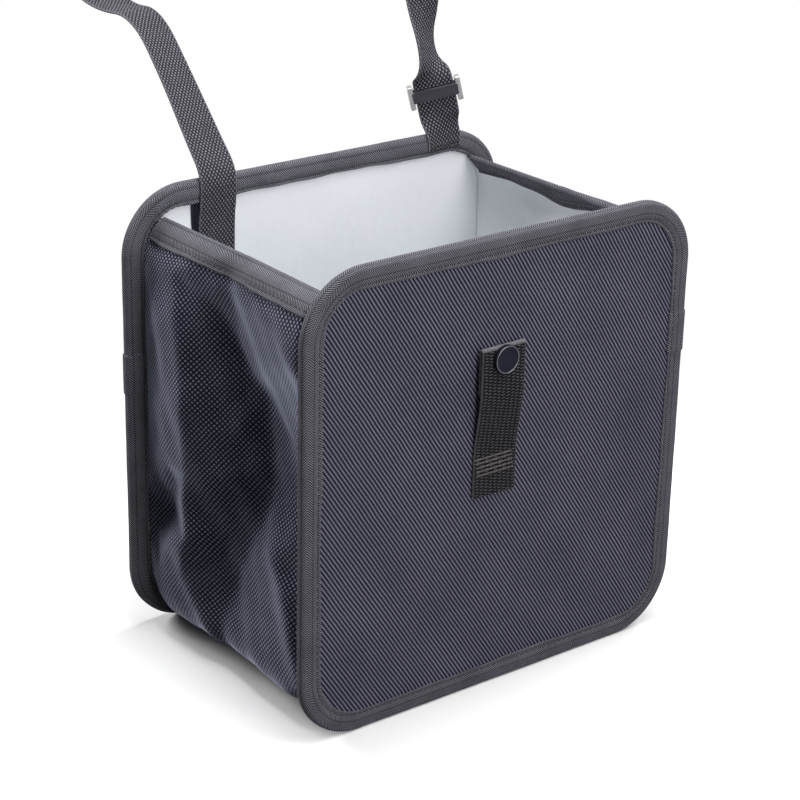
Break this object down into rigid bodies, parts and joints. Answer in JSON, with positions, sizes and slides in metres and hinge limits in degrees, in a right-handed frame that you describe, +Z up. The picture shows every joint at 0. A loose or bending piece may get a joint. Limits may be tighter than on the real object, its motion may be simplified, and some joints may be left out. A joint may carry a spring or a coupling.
{
  "type": "car trash bin",
  "caption": "Foldable fabric car bin: stiff bound panels joined by a soft lined gusset, open at the top, with a webbing hanging strap, a metal slider and a snap tab.",
  "frame": {"origin": "on the ground, under the middle of the bin's box without the strap", "axes": "+X to the right of someone facing the front panel, +Y from the front panel to the back panel, +Z up"},
  "size_m": [0.221, 0.3008, 0.3296],
  "materials": {
    "panel_fabric": "dark navy twill",
    "board": "stiff sheet",
    "lining": "pale waterproof film",
    "binding": "herringbone tape",
    "gusset_fabric": "coarse oxford weave",
    "strap_webbing": "grey woven webbing",
    "tab_webbing": "black woven webbing",
    "slider_metal": "plated",
    "snap_black": "gloss black",
    "snap_metal": "plated"
  },
  "bodies": {
    "bin": {"front_panel_fabric": "panel_fabric", "front_board": "board", "front_lining": "lining", "front_binding": "binding", "back_panel_fabric": "panel_fabric", "back_board": "board", "back_lining": "lining", "back_binding": "binding", "gusset_fabric": "gusset_fabric", "gusset_lining": "lining", "left_rim_binding": "binding", "right_rim_binding": "binding", "hanging_strap": "strap_webbing", "front_tab": "tab_webbing", "snap_stud": "snap_metal", "snap_rivet": "snap_metal"},
    "snap_head": {"snap_cap": "snap_black", "snap_socket": "snap_metal"},
    "slider": {"strap_slider": "slider_metal"}
  },
  "joints": [
    {"name": "tab_hinge", "type": "hinge", "parent": "bin", "child": "snap_head", "pos_m": [-0.0046, -0.06903, 0.118], "axis": [1, 0, 0], "range_deg": [0, 150], "deforming": ["front_tab"]},
    {"name": "slider_slide", "type": "slide", "parent": "bin", "child": "slider", "axis": [0.2414, -0.0475, -0.9693], "range_m": [0, 0.004]}
  ]
}
